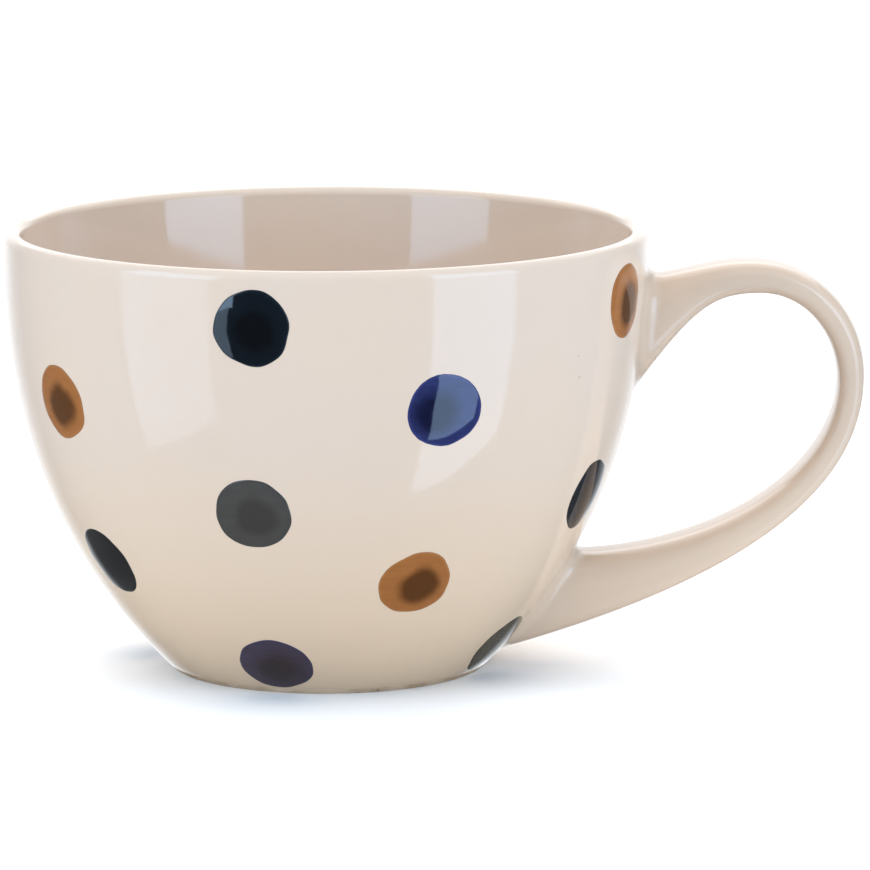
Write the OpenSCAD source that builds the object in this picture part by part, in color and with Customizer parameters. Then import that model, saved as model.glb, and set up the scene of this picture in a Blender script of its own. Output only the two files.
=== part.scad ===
// Wide stoneware cup with a strap handle, a bare foot ring and hand-dabbed glaze dots.
// The bowl stands on Z = 0 with its axis on Z, and the handle points along +X.

/* [Bowl] */
// Height from the table to the top of the lip
mug_h = 77; // [64:0.5:93]
// Outside diameter at the lip, over the glaze
rim_d = 112; // [93:0.5:135]
// Outside diameter of the foot, where the side starts to rise
foot_d = 55; // [45:0.5:66]
// Angle between the table and the side where it leaves the foot
foot_rise = 45; // [38:1:54]
// Length of the nearly upright side below the lip
upright_h = 14; // [11:0.5:17]
// Wall thickness with its glaze, below the thinner lip
wall_t = 5; // [4:0.1:6]
// Thickness of the rounded lip with its glaze
lip_t = 3.2; // [2.6:0.1:3.9]
// Height over which the lip thickens into the wall
lip_taper_h = 24; // [20:0.5:29]
// Thickness of the floor in the middle
floor_t = 5; // [4:0.1:6]
// Height of the soft curve between the floor and the side, inside
well_h = 9; // [7:0.5:11]

/* [Foot ring] */
// Width of the ring that touches the table
ring_w = 3.5; // [2.9:0.1:4.2]
// Depth of the hollow inside the ring
ring_depth = 1.8; // [1.5:0.1:2.2]
// How far the ring's inner side leans in over its depth
ring_lean = 0.8; // [0.6:0.1:1]
// Height of the bare clay band above the table
bare_h = 0.8; // [0.6:0.1:1]

/* [Glaze] */
// Thickness of the glaze coat
glaze_t = 0.3; // [0.2:0.05:0.4]

/* [Handle] */
// How far the handle stands out past the lip
handle_reach = 37.7; // [31:0.1:46]
// Width of the strap at the grip
handle_w = 13.6; // [11:0.1:16.5]
// Width of the strap where it meets the bowl
root_w = 17.5; // [14.5:0.1:21]
// Thickness of the strap at its highest point
crest_t = 5.7; // [4.7:0.1:6.9]
// Thickness of the strap at its outermost point
grip_t = 4.8; // [4:0.1:5.8]
// Drop from the lip to the highest point of the handle
crest_drop = 5.8; // [4.8:0.1:7]
// Distance of that highest point outside the lip
crest_out = 18; // [15:0.5:21.5]
// Drop from the lip to the handle's outermost point
turn_drop = 26; // [21.5:0.5:31]
// Roundness of the strap's section, where 2 is an oval and 4 nearly a box
strap_power = 3; // [2.4:0.1:3.6]

/* [Handle roots] */
// Drop from the lip to the top of the upper root
upper_root_drop = 8.9; // [7.5:0.1:10.6]
// Height of the upper root on the wall
upper_root_h = 18.9; // [15.8:0.1:22.6]
// Height of the lower root's underside above the table
lower_root_z = 2.7; // [2.3:0.1:3.2]
// Height of the lower root on the wall
lower_root_h = 17; // [14.2:0.1:20.4]
// Thickness of the slip that sticks each root to the wall
slip_t = 1.2; // [1:0.1:1.4]
// How far the slip spreads past the root on every side
slip_lap = 1.5; // [1.2:0.1:1.8]

/* [Dots] */
// Diameter of a dot
dot_d = 13; // [11:0.1:15.6]
// Height of a dot above the glaze
dot_h = 0.4; // [0.3:0.05:0.5]
// Angle by which a column of dots drifts round the bowl from lip to foot
column_drift = 3.5; // [0:0.5:5]

/* [Hidden] */
CREAM = "#ded4c6";
BARE_CLAY = "#cdb79a";
OCHRE = "#a8703c";
BLACK = "#1c1e21";
NAVY = "#16202a";
COBALT = "#2b3260";
INDIGO = "#3b3950";
SLATE = "#4a4845";
TEAL = "#22302f";
OLIVE = "#544d42";

rim_r = rim_d / 2;
foot_r = foot_d / 2;
ring_in_r = foot_r - ring_w;
lip_r = lip_t / 2;
lip_z = mug_h - lip_r;
floor_z = ring_depth + floor_t;

// Number of straight steps along the side, over the lip and round the inner well
SIDE_STEPS = 28;
LIP_STEPS = 10;
WELL_STEPS = 8;
// Facets of a full turn in the preview
$fn = 144;

// ---- curves ----

function bezier(p, t) =
    pow(1 - t, 3) * p[0] + 3 * pow(1 - t, 2) * t * p[1] + 3 * (1 - t) * t * t * p[2] + pow(t, 3) * p[3];

function bezier_slope(p, t) =
    3 * pow(1 - t, 2) * (p[1] - p[0]) + 6 * (1 - t) * t * (p[2] - p[1]) + 3 * t * t * (p[3] - p[2]);

// Curve from 0 to 1 that sets off at once and slows down to its end
function slowing(x) = let (s = min(max(x, 0), 1)) s * (2 - s);

function heading(angle) = [cos(angle), sin(angle)];

// ---- side of the bowl, as [radius, height] ----

SIDE = [
    [foot_r, 0],
    [rim_r, (rim_r - foot_r) * tan(foot_rise)],
    [rim_r, lip_z - upright_h],
    [rim_r, lip_z]
];

// Point at share t of the curve, moved into the wall by depth
function side(t, depth = 0) =
    let (s = bezier_slope(SIDE, t), n = [-s[1], s[0]] / norm(s))
    bezier(SIDE, t) + depth * n;

function side_steps(from) = [for (i = [0 : SIDE_STEPS]) from + (1 - from) * i / SIDE_STEPS];

// Share of the curve at a height, and the radius there
HEIGHTS = [for (t = side_steps(0)) [side(t)[1], t]];
function side_at(z) = lookup(z, HEIGHTS);
function side_r(z) = side(side_at(z))[0];

// Share of the curve at a share of its own length, counted from the foot
STEP_LENGTHS = [for (i = [1 : SIDE_STEPS]) norm(side(i / SIDE_STEPS) - side((i - 1) / SIDE_STEPS))];
function first_sum(list, count) = count == 0 ? 0 : list[count - 1] + first_sum(list, count - 1);
side_length = first_sum(STEP_LENGTHS, SIDE_STEPS);
LENGTHS = [for (i = [0 : SIDE_STEPS]) [first_sum(STEP_LENGTHS, i) / side_length, i / SIDE_STEPS]];
function side_share(share) = lookup(share, LENGTHS);

bare_t = side_at(bare_h);

// ---- inside of the bowl ----

// The wall thickens downwards from the lip, so the inside leans from the lip on
function wall_at(t) =
    lip_t + (wall_t - lip_t) * slowing((lip_z - side(t)[1]) / lip_taper_h);

function inside(t, depth = 0) = side(t, wall_at(t) - depth);

well_t = lookup(floor_z + well_h, [for (t = side_steps(0)) [inside(t)[1], t]]);

// Rounded corner from the side down onto the floor, with its ends equally far from the corner
function well(depth) =
    let (
        top = inside(well_t, depth),
        s = bezier_slope(SIDE, well_t),
        drop = top[1] - floor_z + depth,
        corner = top - s * drop / s[1],
        end = corner - [norm(top - corner), 0]
    )
    [for (i = [1 : WELL_STEPS])
        let (u = i / WELL_STEPS)
        (1 - u) * (1 - u) * top + 2 * (1 - u) * u * corner + u * u * end];

// Outline from the bare band up the side, over the lip and down to the middle of the floor
function coat_line(depth) = concat(
    [for (t = side_steps(bare_t)) side(t, depth)],
    [for (i = [1 : LIP_STEPS - 1])
        [rim_r - lip_r, lip_z] + (lip_r - depth) * heading(180 * i / LIP_STEPS)],
    [for (i = [0 : SIDE_STEPS]) inside(1 - (1 - well_t) * i / SIDE_STEPS, depth)],
    well(depth),
    [[0, floor_z - depth]]
);

function reversed(list) = [for (i = [len(list) - 1 : -1 : 0]) list[i]];

// Full turn with its seam on the side away from the handle
module turned(outline) {
    rotate([0, 0, 180])
        rotate_extrude()
            polygon(outline);
}

// Solid inside the side, moved into the wall by depth
module side_core(depth) {
    turned(concat([[0, 0], [side(0, depth)[0], 0]],
        [for (t = side_steps(bare_t)) side(t, depth)],
        [[side(1, depth)[0], mug_h], [0, mug_h]]));
}

// ---- handle roots ----

// Each root as [height of its middle, height]
UPPER_ROOT = [mug_h - upper_root_drop - upper_root_h / 2, upper_root_h];
LOWER_ROOT = [lower_root_z + lower_root_h / 2, lower_root_h];

ROOT_SIDES = 40;

// Point at an angle on a rounded box of the given half sizes
function rounded_point(angle, half_x, half_y, power) = [
    half_x * sign(cos(angle)) * pow(abs(cos(angle)), 2 / power),
    half_y * sign(sin(angle)) * pow(abs(sin(angle)), 2 / power)
];

// Bar along +X with the outline of a root and its slip
module root_bar(root) {
    translate([0, 0, root[0]])
        rotate([90, 0, 90])
            linear_extrude(rim_r + slip_t)
                polygon([for (i = [0 : ROOT_SIDES - 1])
                    rounded_point(360 * (i + 0.5) / ROOT_SIDES,
                        root_w / 2 + slip_lap, root[1] / 2 + slip_lap, strap_power)]);
}

module both_root_bars() {
    root_bar(UPPER_ROOT);
    root_bar(LOWER_ROOT);
}

// Layer between the clay wall and the end of the strap
module slip_pad(root) {
    intersection() {
        root_bar(root);
        turned(concat(
            [for (t = side_steps(bare_t)) side(t, glaze_t)],
            reversed([for (t = side_steps(bare_t)) side(t, glaze_t - slip_t)])));
    }
}

// ---- handle strap ----

// Stations along each of the strap's three stretches, and points round its section
STRETCH_STEPS = 14;
STRAP_SIDES = 24;
// How far the strap's ends run into the wall before they are trimmed to it
ROOT_BURY = 2.5;

// Lines of the strap's outer and inner face, as knots of [point, heading]. The pull between
// two knots says how far the curve reaches towards the corner where their headings cross.
UPPER_ROOT_TOP = mug_h - upper_root_drop;
UPPER_ROOT_FOOT = UPPER_ROOT_TOP - upper_root_h;
LOWER_ROOT_TOP = lower_root_z + lower_root_h;
crest_x = rim_r + crest_out;
grip_x = rim_r + handle_reach;

OUTER_KNOTS = [
    [[side_r(UPPER_ROOT_TOP), UPPER_ROOT_TOP], 13],
    [[crest_x, mug_h - crest_drop], 0],
    [[grip_x, mug_h - turn_drop], -90],
    [[side_r(lower_root_z), lower_root_z], 196]
];
OUTER_PULLS = [0.95, 0.57, 0.67];

INNER_KNOTS = [
    [[side_r(UPPER_ROOT_FOOT), UPPER_ROOT_FOOT], 54],
    [[crest_x + 1.5, mug_h - crest_drop - crest_t], 0],
    [[grip_x - grip_t, mug_h - turn_drop - 1], -90],
    [[side_r(LOWER_ROOT_TOP), LOWER_ROOT_TOP], 181]
];
INNER_PULLS = [0.86, 0.55, 0.55];

// Where two lines, each a [point, heading], cross
function crossing(a, b) =
    let (u = heading(a[1]), v = heading(b[1]), w = b[0] - a[0])
    a[0] + u * (w[0] * v[1] - w[1] * v[0]) / (u[0] * v[1] - u[1] * v[0]);

function stretch(a, b, pull) =
    let (c = crossing(a, b))
    [a[0], a[0] + pull * (c - a[0]), b[0] + pull * (c - b[0]), b[0]];

// Point on a face line at place s, from 0 at the upper root to 3 at the lower root
function face_point(knots, pulls, s) =
    let (i = min(floor(s), 2))
    bezier(stretch(knots[i], knots[i + 1], pulls[i]), s - i);

// The same line, run on straight into the wall at both ends
function face_line(knots, pulls) = concat(
    [knots[0][0] - ROOT_BURY * heading(knots[0][1])],
    [for (i = [0 : 3 * STRETCH_STEPS]) face_point(knots, pulls, i / STRETCH_STEPS)],
    [knots[3][0] + ROOT_BURY * heading(knots[3][1])]
);

// Width of the strap at place s
function strap_w(s) =
    handle_w + (root_w - handle_w) * pow(max(1 - s, s - 2, 0), 1.5);

// Rings of points round the strap, moved into it by depth
function strap_rings(depth) =
    let (
        outer = face_line(OUTER_KNOTS, OUTER_PULLS),
        inner = face_line(INNER_KNOTS, INNER_PULLS),
        last = 3 * STRETCH_STEPS + 2
    )
    [for (i = [0 : last])
        let (
            middle = (outer[i] + inner[i]) / 2,
            across = (outer[i] - inner[i]) / norm(outer[i] - inner[i]),
            half_t = norm(outer[i] - inner[i]) / 2 - depth,
            half_w = strap_w(min(max(i - 1, 0) / STRETCH_STEPS, 3)) / 2 - depth
        )
        [for (k = [0 : STRAP_SIDES - 1])
            let (
                q = rounded_point(360 * (k + 0.5) / STRAP_SIDES, half_w, half_t, strap_power),
                m = middle + q[1] * across
            )
            [m[0], q[0], m[1]]]];

// Triangles between ring a and ring b, each given by the index of its first point
function band(a, b, sides) =
    [for (k = [0 : sides - 1])
        let (n = (k + 1) % sides)
        each [[a + k, b + k, a + n], [a + n, b + k, b + n]]];

function turned_over(faces) = [for (f = faces) [f[0], f[2], f[1]]];

function flat(lists) = [for (l = lists) each l];

module strap(depth) {
    rings = strap_rings(depth);
    last = len(rings) - 1;
    n = STRAP_SIDES;
    polyhedron(flat(rings), concat(
        [for (i = [0 : last - 1]) each band(i * n, (i + 1) * n, n)],
        [for (k = [1 : n - 2]) [0, k, k + 1]],
        [for (k = [1 : n - 2]) [last * n, last * n + k + 1, last * n + k]]));
}

// Skin of the strap, open at both roots
module strap_skin() {
    rings = concat(strap_rings(0), strap_rings(glaze_t));
    half = len(rings) / 2;
    n = STRAP_SIDES;
    polyhedron(flat(rings), concat(
        [for (i = [0 : half - 2]) each band(i * n, (i + 1) * n, n)],
        turned_over([for (i = [half : 2 * half - 2]) each band(i * n, (i + 1) * n, n)]),
        turned_over(band(0, half * n, n)),
        band((half - 1) * n, (2 * half - 1) * n, n)));
}

// ---- dots ----

// Each column of dots as [angle round the bowl at the lip, [[glaze, share of the side], ...]].
// Columns of three and of two dots take turns, going clockwise from the handle.
COLUMNS = [
    [-22.5, [["ochre", 0.9], ["black", 0.485], ["olive", 0.1]]],
    [-67, [["cobalt", 0.73], ["ochre", 0.335]]],
    [-101.5, [["navy", 0.905], ["slate", 0.51], ["indigo", 0.1]]],
    [-144, [["ochre", 0.71], ["teal", 0.345]]],
    [-189, [["cobalt", 0.9], ["ochre", 0.5], ["black", 0.105]]],
    [-232, [["navy", 0.72], ["indigo", 0.335]]],
    [-277, [["teal", 0.895], ["slate", 0.495], ["ochre", 0.1]]],
    [-321, [["indigo", 0.715], ["ochre", 0.34]]]
];
GLAZES = [
    ["ochre", OCHRE], ["black", BLACK], ["navy", NAVY], ["cobalt", COBALT],
    ["indigo", INDIGO], ["slate", SLATE], ["teal", TEAL], ["olive", OLIVE]
];
ROW_NAMES = [["high", "low"], ["top", "mid", "low"]];

// Every dot as [name, glaze, angle, share of the side]
DOTS = [for (c = [0 : len(COLUMNS) - 1], r = [0 : len(COLUMNS[c][1]) - 1])
    let (dots = COLUMNS[c][1], row = ROW_NAMES[len(dots) - 2][r], share = dots[r][1])
    [str(dots[r][0], "_dot_", c + 1, "_", row), dots[r][0],
        COLUMNS[c][0] - column_drift * (1 - share), share]];

function glaze_colour(name) = [for (g = GLAZES) if (g[0] == name) g[1]][0];

// Half the angle of the wedge of bowl that a dot is cut from
DOT_WEDGE = 30;

module dot(spec) {
    middle = side_share(spec[3]);
    slope = bezier_slope(SIDE, middle);
    tilt = 180 - atan2(slope[1], slope[0]);
    place = side(middle);
    color(glaze_colour(spec[1]))
        difference() {
            rotate([0, 0, spec[2]])
                intersection() {
                    rotate([0, 0, -DOT_WEDGE])
                        rotate_extrude(angle = 2 * DOT_WEDGE)
                            polygon(concat(
                                [for (t = side_steps(bare_t)) side(t)],
                                reversed([for (t = side_steps(bare_t)) side(t, -dot_h)])));
                    translate([place[0], 0, place[1]])
                        rotate([0, tilt, 0])
                            cylinder(d = dot_d, h = dot_d / 2, center = true);
                }
            both_root_bars();
        }
}

// ---- nodes ----

// Clay body of the cup with its foot ring
module bowl() {
    color(BARE_CLAY)
        turned(concat(
            [[0, ring_depth + glaze_t], [ring_in_r - ring_lean, ring_depth + glaze_t],
                [ring_in_r, 0], [foot_r, 0], side(bare_t)],
            coat_line(glaze_t)));
}

// Cream coat over the outside, the lip and the inside, left open under the roots
module bowl_glaze() {
    color(CREAM)
        difference() {
            turned(concat(coat_line(0), reversed(coat_line(glaze_t))));
            difference() {
                both_root_bars();
                side_core(wall_t / 2);
            }
        }
}

// Glaze inside the foot ring
module base_glaze() {
    color(CREAM)
        translate([0, 0, ring_depth])
            cylinder(r = ring_in_r - ring_lean, h = glaze_t);
}

// Clay strap from the upper to the lower root
module handle() {
    color(BARE_CLAY)
        difference() {
            strap(glaze_t);
            side_core(glaze_t - slip_t);
        }
}

module handle_glaze() {
    color(CREAM)
        difference() {
            strap_skin();
            side_core(glaze_t - slip_t);
        }
}

module upper_handle_slip() {
    color(CREAM)
        slip_pad(UPPER_ROOT);
}

module lower_handle_slip() {
    color(CREAM)
        slip_pad(LOWER_ROOT);
}

bowl();
bowl_glaze();
base_glaze();
handle();
handle_glaze();
upper_handle_slip();
lower_handle_slip();
for (d = DOTS) {
    dot(d);
}
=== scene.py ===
"""Visual model of a wide stoneware mug with a strap handle and hand-dabbed glaze dots.

Lengths are in metres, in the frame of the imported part: the bowl stands on Z = 0 with its axis
on Z, and the handle points along +X.
"""

import logging
import math
from dataclasses import dataclass
from enum import Enum
from typing import ClassVar, Iterable, Mapping, Sequence, Union

import bmesh
import bpy
import numpy as np
from mathutils import Euler, Matrix, Vector


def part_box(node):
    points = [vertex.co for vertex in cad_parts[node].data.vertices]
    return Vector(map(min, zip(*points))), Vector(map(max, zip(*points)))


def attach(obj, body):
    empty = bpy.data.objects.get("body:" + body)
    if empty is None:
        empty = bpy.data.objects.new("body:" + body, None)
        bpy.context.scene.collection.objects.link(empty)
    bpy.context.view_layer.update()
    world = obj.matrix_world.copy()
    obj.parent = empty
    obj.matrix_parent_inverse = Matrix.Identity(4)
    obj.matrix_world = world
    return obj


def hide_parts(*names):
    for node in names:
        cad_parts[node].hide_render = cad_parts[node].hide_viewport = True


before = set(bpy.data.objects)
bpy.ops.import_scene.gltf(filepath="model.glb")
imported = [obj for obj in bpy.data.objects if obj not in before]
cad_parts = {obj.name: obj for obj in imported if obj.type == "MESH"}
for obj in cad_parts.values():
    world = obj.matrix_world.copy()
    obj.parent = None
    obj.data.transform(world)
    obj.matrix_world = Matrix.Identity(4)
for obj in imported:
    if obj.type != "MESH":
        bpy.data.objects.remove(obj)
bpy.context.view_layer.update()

log = logging.getLogger("mug")

MM = 0.001
BODY = "root"
MERGE_DISTANCE = 1e-6
# Steps in which a curve is walked to look a place up on it
SAMPLES = 2001
FINE_SAMPLES = 4001

Colour = tuple[float, float, float]
Point = tuple[float, float, float]
Feed = Union["Wire", float, int, bool, str, Sequence[float], bpy.types.ID]


# ---------------------------------------------------------------- nodes


class Wire:
    """Output of a node that can be used in sums, as a number or a vector."""

    def __init__(self, builder: "NodeBuilder", socket: bpy.types.NodeSocket) -> None:
        """Keeps an output socket and the builder of its tree."""
        self.builder = builder
        self.socket = socket

    def __add__(self, other: Feed) -> "Wire":
        """Sum of two numbers or two vectors."""
        return self.builder.maths("ADD", self, other)

    def __radd__(self, other: Feed) -> "Wire":
        """Sum with a plain number on the left."""
        return self.builder.maths("ADD", other, self)

    def __sub__(self, other: Feed) -> "Wire":
        """Difference of two numbers or two vectors."""
        return self.builder.maths("SUBTRACT", self, other)

    def __rsub__(self, other: Feed) -> "Wire":
        """Difference with a plain number on the left."""
        return self.builder.maths("SUBTRACT", other, self)

    def __mul__(self, other: Feed) -> "Wire":
        """Product of two numbers, or of a vector and a number."""
        return self.builder.maths("MULTIPLY", self, other)

    def __rmul__(self, other: Feed) -> "Wire":
        """Product with a plain number on the left."""
        return self.builder.maths("MULTIPLY", self, other)

    def __truediv__(self, other: Feed) -> "Wire":
        """Quotient of two numbers."""
        return self.builder.maths("DIVIDE", self, other)

    def __rtruediv__(self, other: Feed) -> "Wire":
        """Quotient with a plain number on the left."""
        return self.builder.maths("DIVIDE", other, self)

    def __pow__(self, other: Feed) -> "Wire":
        """Number raised to a power."""
        return self.builder.maths("POWER", self, other)


class NodeBuilder:
    """Adds nodes to a tree and joins them."""

    def __init__(self, tree: bpy.types.NodeTree) -> None:
        """Works on the given tree."""
        self.tree = tree

    def feed(self, socket: bpy.types.NodeSocket, value: Feed) -> None:
        """Links a wire to an input, or sets the input to a constant.

        Args:
            socket: Input socket.
            value: Wire or constant.
        """
        if isinstance(value, Wire):
            self.tree.links.new(value.socket, socket)
        else:
            socket.default_value = value

    def node(
        self, kind: str, inputs: Mapping[Union[str, int], Feed], **settings: object
    ) -> bpy.types.Node:
        """Adds a node.

        Args:
            kind: Type name of the node.
            inputs: Inputs by name or place, each a wire or a constant.
            **settings: Properties of the node.

        Returns:
            The new node.
        """
        node = self.tree.nodes.new(kind)
        for name, value in settings.items():
            setattr(node, name, value)
        for key, value in inputs.items():
            self.feed(node.inputs[key], value)
        return node

    def use(
        self,
        kind: str,
        inputs: Mapping[Union[str, int], Feed],
        output: Union[str, int] = 0,
        **settings: object,
    ) -> Wire:
        """Adds a node, as node() does, and gives one of its outputs."""
        return Wire(self, self.node(kind, inputs, **settings).outputs[output])

    def maths(self, operation: str, *values: Feed) -> Wire:
        """Adds a maths node, on vectors if any operand is one.

        Args:
            operation: Name of the operation.
            *values: Its operands.

        Returns:
            The result.
        """
        vectors = [
            isinstance(value, tuple) or isinstance(value, Wire) and value.socket.type == "VECTOR"
            for value in values
        ]
        if not any(vectors):
            return self.use("ShaderNodeMath", dict(enumerate(values)), operation=operation)
        if operation == "MULTIPLY" and not all(vectors):
            vector, scale = values if vectors[0] else values[::-1]
            return self.use("ShaderNodeVectorMath", {0: vector, "Scale": scale}, operation="SCALE")
        return self.use("ShaderNodeVectorMath", dict(enumerate(values)), operation=operation)

    def length(self, vector: Wire) -> Wire:
        """Length of a vector."""
        return self.use("ShaderNodeVectorMath", {0: vector}, "Value", operation="LENGTH")

    def unit(self, vector: Wire) -> Wire:
        """Vector of the same direction and length one."""
        return self.use("ShaderNodeVectorMath", {0: vector}, operation="NORMALIZE")

    def vector(self, x: Feed, y: Feed, z: Feed) -> Wire:
        """Vector of three numbers."""
        return self.use("ShaderNodeCombineXYZ", {0: x, 1: y, 2: z})

    def split(self, vector: Wire) -> tuple[Wire, Wire, Wire]:
        """Three numbers of a vector."""
        outputs = self.node("ShaderNodeSeparateXYZ", {0: vector}).outputs
        return Wire(self, outputs[0]), Wire(self, outputs[1]), Wire(self, outputs[2])

    def ease(self, value: Wire, start: Feed, end: Feed, low: Feed = 0.0, high: Feed = 1.0) -> Wire:
        """Smooth step from low, at start, to high, at end."""
        inputs = {"Value": value, "From Min": start, "From Max": end, "To Min": low, "To Max": high}
        return self.use("ShaderNodeMapRange", inputs, interpolation_type="SMOOTHSTEP")

    def noise(self, vector: Feed, scale: float, detail: float = 2.0, seed: Feed = 0.0) -> Wire:
        """Smooth noise from 0 to 1, with one feature in each 1 / scale of the vector."""
        inputs = {"Vector": vector, "W": seed, "Scale": scale, "Detail": detail}
        return self.use("ShaderNodeTexNoise", inputs, noise_dimensions="4D")

    def object_place(self) -> Wire:
        """Place in the object's own coordinates, in metres."""
        return self.use("ShaderNodeTexCoord", {}, "Object")


class GeometryBuilder(NodeBuilder):
    """Builds a Geometry Nodes tree with named inputs and one geometry output."""

    def __init__(self, name: str) -> None:
        """Starts an empty tree of the given name."""
        super().__init__(bpy.data.node_groups.new(name, "GeometryNodeTree"))
        self.tree.interface.new_socket("Geometry", in_out="OUTPUT", socket_type="NodeSocketGeometry")
        self.entry = self.tree.nodes.new("NodeGroupInput")

    def input(self, name: str, kind: str) -> Wire:
        """Adds a named input, whose kind is the ending of a socket's type name, such as Float."""
        self.tree.interface.new_socket(name, in_out="INPUT", socket_type="NodeSocket" + kind)
        return Wire(self, self.entry.outputs[name])

    def grid(self, columns: Wire, rows: Wire) -> tuple[Wire, Wire, Wire]:
        """Adds a flat grid whose points are told apart by column and row.

        Args:
            columns: Number of columns of points, less one.
            rows: Number of rows of points, less one.

        Returns:
            The grid, and each point's column and row, counted from 0.
        """
        inputs = {"Size X": columns, "Size Y": rows, "Vertices X": columns + 1, "Vertices Y": rows + 1}
        mesh = self.use("GeometryNodeMeshGrid", inputs, "Mesh")
        x, y, _ = self.split(self.use("GeometryNodeInputPosition", {}))
        return mesh, self.maths("ROUND", x + columns / 2), self.maths("ROUND", y + rows / 2)

    def point_of(self, line: Wire, index: Wire) -> Wire:
        """Position of a point of a line, by its index."""
        inputs = {"Geometry": line, "Value": self.use("GeometryNodeInputPosition", {}), "Index": index}
        return self.use("GeometryNodeSampleIndex", inputs, data_type="FLOAT_VECTOR", clamp=True)

    def line_of(self, source: Wire) -> Wire:
        """Geometry of the object that an input names."""
        return self.use("GeometryNodeObjectInfo", {"Object": source}, "Geometry")

    def count_of(self, line: Wire) -> Wire:
        """Number of points of a line."""
        inputs = {"Geometry": line}
        return self.use("GeometryNodeAttributeDomainSize", inputs, "Point Count", component="MESH")

    def moved(self, mesh: Wire, position: Wire) -> Wire:
        """Mesh with its points put at the given positions."""
        return self.use("GeometryNodeSetPosition", {"Geometry": mesh, "Position": position})

    def marked(self, mesh: Wire, name: str, value: Wire, data_type: str, domain: str) -> Wire:
        """Mesh with a value kept on it under a name."""
        inputs = {"Geometry": mesh, "Name": name, "Value": value}
        return self.use("GeometryNodeStoreNamedAttribute", inputs, data_type=data_type, domain=domain)

    def finish(self, mesh: Wire, finish: Wire) -> bpy.types.NodeTree:
        """Closes the seams and ends the tree.

        Args:
            mesh: Mesh to give out.
            finish: Material input.

        Returns:
            The finished tree.
        """
        mesh = self.use("GeometryNodeMergeByDistance", {"Geometry": mesh, "Distance": MERGE_DISTANCE})
        mesh = self.use("GeometryNodeSetShadeSmooth", {"Geometry": mesh, "Shade Smooth": True})
        mesh = self.use("GeometryNodeRealizeInstances", {"Geometry": mesh})
        mesh = self.use("GeometryNodeSetMaterial", {"Geometry": mesh, "Material": finish})
        self.node("NodeGroupOutput", {"Geometry": mesh})
        return self.tree


def added(name: str, data: bpy.types.ID) -> bpy.types.Object:
    """Puts a new object with the given data into the scene.

    Args:
        name: Name of the object.
        data: Its mesh, light or camera.

    Returns:
        The object, at the origin.
    """
    item = bpy.data.objects.new(name, data)
    bpy.context.scene.collection.objects.link(item)
    return item


def coordinates(mesh: bpy.types.Mesh) -> np.ndarray:
    """Reads the points of a mesh.

    Args:
        mesh: The mesh.

    Returns:
        One row for each point.
    """
    values = np.zeros(len(mesh.vertices) * 3, np.float32)
    mesh.vertices.foreach_get("co", values)
    return values.reshape(-1, 3)


def lengths(points: np.ndarray) -> np.ndarray:
    """Length walked along a line to each of its points."""
    steps = np.linalg.norm(np.diff(points, axis=0), axis=1)
    return np.concatenate([[0.0], np.cumsum(steps)])


def face_outwards(mesh: bpy.types.Mesh) -> None:
    """Turns a closed mesh whose faces point inwards the right way out.

    Args:
        mesh: The mesh.
    """
    volume = sum(face.center.dot(face.normal) * face.area for face in mesh.polygons)
    if volume < 0:
        mesh.flip_normals()


def grown(name: str, tree: bpy.types.NodeTree, inputs: Mapping[str, object]) -> bpy.types.Object:
    """Runs a Geometry Nodes tree and keeps its result as a plain mesh object.

    Args:
        name: Name of the new object.
        tree: Geometry Nodes tree.
        inputs: Values of its named inputs.

    Returns:
        Object at the origin with the tree's mesh and no modifier.
    """
    seed_mesh = bpy.data.meshes.new(name + "_seed")
    piece = added(name, seed_mesh)
    modifier = piece.modifiers.new("shape", "NODES")
    modifier.node_group = tree
    items = tree.interface.items_tree
    sockets = {item.name: item.identifier for item in items if item.in_out == "INPUT"}
    for key, value in inputs.items():
        modifier[sockets[key]] = value
    depsgraph = bpy.context.evaluated_depsgraph_get()
    mesh = bpy.data.meshes.new_from_object(piece.evaluated_get(depsgraph), depsgraph=depsgraph)
    empty_slots = [i for i, material in enumerate(mesh.materials) if material is None]
    for index in reversed(empty_slots):
        mesh.materials.pop(index=index)
    face_outwards(mesh)
    piece.modifiers.clear()
    piece.data = mesh
    mesh.name = name
    bpy.data.meshes.remove(seed_mesh)
    return piece


def line_object(name: str, points: np.ndarray) -> bpy.types.Object:
    """Makes an open line of points in the XZ plane, for a tree to read.

    Args:
        name: Name of the object.
        points: One row of X and Z for each point.

    Returns:
        Object with the line, which drop() removes once it has been read.
    """
    mesh = bpy.data.meshes.new(name)
    rows = [(float(x), 0.0, float(z)) for x, z in points]
    mesh.from_pydata(rows, [(i, i + 1) for i in range(len(rows) - 1)], [])
    return added(name, mesh)


def drop(objects: Iterable[bpy.types.Object]) -> None:
    """Removes construction lines from the scene.

    Args:
        objects: Objects of the lines.
    """
    for item in objects:
        mesh = item.data
        bpy.data.objects.remove(item)
        bpy.data.meshes.remove(mesh)


def settle(piece: bpy.types.Object, slot: str, *replaced: str) -> bpy.types.Object:
    """Fixes a finished piece to the part.

    Args:
        piece: Finished piece, at the origin.
        slot: Name of a material slot; not used.
        *replaced: CAD nodes that it stands for.

    Returns:
        The piece.
    """
    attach(piece, BODY)
    if replaced:
        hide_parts(*replaced)
    log.info("%s: %d faces, stands for %s", piece.name, len(piece.data.polygons), ", ".join(replaced))
    return piece


# ---------------------------------------------------------------- finishes


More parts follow.
